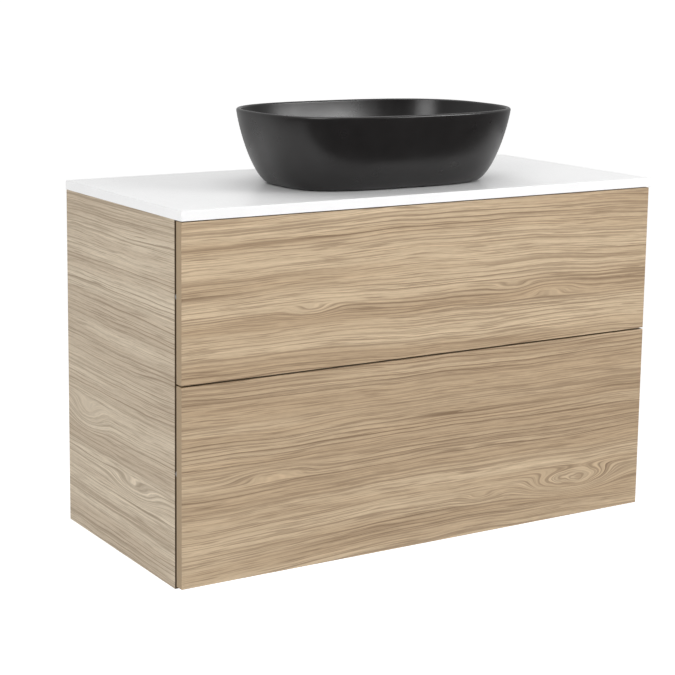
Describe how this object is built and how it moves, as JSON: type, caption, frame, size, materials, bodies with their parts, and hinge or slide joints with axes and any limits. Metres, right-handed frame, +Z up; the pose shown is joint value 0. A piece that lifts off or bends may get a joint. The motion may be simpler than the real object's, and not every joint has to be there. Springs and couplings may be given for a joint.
{
  "type": "vessel sink on vanity",
  "caption": "Wall-hung vanity unit: a flat-fronted push-open drawer cabinet in wood decor, a thin white worktop and a rounded black vessel basin with its waste.",
  "frame": {"origin": "on the wall plane, on the cabinet's centre line, level with the carcass underside", "axes": "+X to the user's right, +Y into the wall, +Z up; drawers open towards -Y"},
  "size_m": [1, 0.49, 0.781],
  "materials": {
    "wood_decor": "fine matt wood decor with horizontal grain",
    "carcass_board": "matt wood decor board",
    "drawer_board": "smooth pale grey board",
    "worktop_laminate": "smooth matt white",
    "black_ceramic": "satin black glaze",
    "zinc_steel": "zinc plated",
    "ball_steel": "polished",
    "cam_zinc": "die-cast, satin",
    "beech": "plain wood",
    "grey_plastic": "moulded, matt",
    "soft_tip": "soft, matt",
    "silicone": "soft satin bead",
    "black_rubber": "matt",
    "chrome": "polished"
  },
  "bodies": {
    "carcass": {"basin": "black_ceramic", "basin_seal": "silicone", "bottom_panel": "carcass_board", "cabinet_screws": "zinc_steel", "cam_fasteners": "cam_zinc", "carcass_dowels": "beech", "front_buffers": "soft_tip", "hanger_hooks": "zinc_steel", "hanger_housings": "grey_plastic", "latch_housings": "grey_plastic", "lower_back_rail": "carcass_board", "lower_slide_cabinet_members": "zinc_steel", "side_panel_left": "wood_decor", "side_panel_right": "wood_decor", "top_rails": "carcass_board", "trap_body": "chrome", "trap_cup": "chrome", "trap_inlet_pipe": "chrome", "trap_nuts": "chrome", "trap_outlet_pipe": "chrome", "upper_back_rail": "carcass_board", "upper_slide_cabinet_members": "zinc_steel", "wall_plates": "zinc_steel", "wall_rosette": "chrome", "waste_backnut": "chrome", "waste_body": "chrome", "waste_gaskets": "black_rubber", "worktop": "worktop_laminate", "worktop_screws": "zinc_steel"},
    "upper_drawer": {"upper_box_back": "drawer_board", "upper_box_bottom": "drawer_board", "upper_box_front": "drawer_board", "upper_box_side_left": "drawer_board", "upper_box_side_right": "drawer_board", "upper_drawer_front": "wood_decor", "upper_drawer_screws": "zinc_steel", "upper_recess_front": "drawer_board", "upper_recess_sides": "drawer_board", "upper_slide_drawer_members": "zinc_steel"},
    "upper_slide_middles": {"upper_slide_middle_members": "zinc_steel"},
    "upper_outer_cages": {"upper_outer_ball_cages": "ball_steel"},
    "upper_inner_cages": {"upper_inner_ball_cages": "ball_steel"},
    "upper_plunger_left": {"upper_plunger_left": "soft_tip"},
    "upper_plunger_right": {"upper_plunger_right": "soft_tip"},
    "lower_drawer": {"lower_box_back": "drawer_board", "lower_box_bottom": "drawer_board", "lower_box_front": "drawer_board", "lower_box_side_left": "drawer_board", "lower_box_side_right": "drawer_board", "lower_drawer_front": "wood_decor", "lower_drawer_screws": "zinc_steel", "lower_slide_drawer_members": "zinc_steel"},
    "lower_slide_middles": {"lower_slide_middle_members": "zinc_steel"},
    "lower_outer_cages": {"lower_outer_ball_cages": "ball_steel"},
    "lower_inner_cages": {"lower_inner_ball_cages": "ball_steel"},
    "lower_plunger_left": {"lower_plunger_left": "soft_tip"},
    "lower_plunger_right": {"lower_plunger_right": "soft_tip"},
    "waste_plug": {"waste_plug": "chrome"},
    "hanger_adjuster_left": {"hanger_adjuster_left": "zinc_steel"},
    "hanger_adjuster_right": {"hanger_adjuster_right": "zinc_steel"}
  },
  "joints": [
    {"name": "upper_drawer_slide", "type": "slide", "parent": "carcass", "child": "upper_drawer", "axis": [0, -1, 0], "range_m": [-0.0025, 0.35]},
    {"name": "upper_slide_middles_slide", "type": "slide", "parent": "carcass", "child": "upper_slide_middles", "axis": [0, -1, 0], "range_m": [-0.00125, 0.175]},
    {"name": "upper_outer_cages_slide", "type": "slide", "parent": "carcass", "child": "upper_outer_cages", "axis": [0, -1, 0], "range_m": [-0.00063, 0.0875]},
    {"name": "upper_inner_cages_slide", "type": "slide", "parent": "carcass", "child": "upper_inner_cages", "axis": [0, -1, 0], "range_m": [-0.00187, 0.2625]},
    {"name": "upper_latch_press_left", "type": "slide", "parent": "carcass", "child": "upper_plunger_left", "axis": [0, 1, 0], "range_m": [0, 0.003], "stiffness_N_per_m": 500, "springref_m": -0.004},
    {"name": "upper_latch_press_right", "type": "slide", "parent": "carcass", "child": "upper_plunger_right", "axis": [0, 1, 0], "range_m": [0, 0.003], "stiffness_N_per_m": 500, "springref_m": -0.004},
    {"name": "lower_drawer_slide", "type": "slide", "parent": "carcass", "child": "lower_drawer", "axis": [0, -1, 0], "range_m": [-0.0025, 0.35]},
    {"name": "lower_slide_middles_slide", "type": "slide", "parent": "carcass", "child": "lower_slide_middles", "axis": [0, -1, 0], "range_m": [-0.00125, 0.175]},
    {"name": "lower_outer_cages_slide", "type": "slide", "parent": "carcass", "child": "lower_outer_cages", "axis": [0, -1, 0], "range_m": [-0.00063, 0.0875]},
    {"name": "lower_inner_cages_slide", "type": "slide", "parent": "carcass", "child": "lower_inner_cages", "axis": [0, -1, 0], "range_m": [-0.00187, 0.2625]},
    {"name": "lower_latch_press_left", "type": "slide", "parent": "carcass", "child": "lower_plunger_left", "axis": [0, 1, 0], "range_m": [0, 0.003], "stiffness_N_per_m": 500, "springref_m": -0.004},
    {"name": "lower_latch_press_right", "type": "slide", "parent": "carcass", "child": "lower_plunger_right", "axis": [0, 1, 0], "range_m": [0, 0.003], "stiffness_N_per_m": 500, "springref_m": -0.004},
    {"name": "plug_lift", "type": "slide", "parent": "carcass", "child": "waste_plug", "axis": [0, 0, 1], "range_m": [0, 0.008]},
    {"name": "hanger_adjuster_turn_left", "type": "hinge", "parent": "carcass", "child": "hanger_adjuster_left", "pos_m": [-0.474, -0.098, 0.5925], "axis": [0, 1, 0], "continuous": true},
    {"name": "hanger_adjuster_turn_right", "type": "hinge", "parent": "carcass", "child": "hanger_adjuster_right", "pos_m": [0.474, -0.098, 0.5925], "axis": [0, 1, 0], "continuous": true}
  ],
  "couplings": [
    {"joint": "upper_slide_middles_slide", "follows": "upper_drawer_slide", "ratio": 0.5},
    {"joint": "upper_outer_cages_slide", "follows": "upper_drawer_slide", "ratio": 0.25},
    {"joint": "upper_inner_cages_slide", "follows": "upper_drawer_slide", "ratio": 0.75},
    {"joint": "lower_slide_middles_slide", "follows": "lower_drawer_slide", "ratio": 0.5},
    {"joint": "lower_outer_cages_slide", "follows": "lower_drawer_slide", "ratio": 0.25},
    {"joint": "lower_inner_cages_slide", "follows": "lower_drawer_slide", "ratio": 0.75}
  ]
}
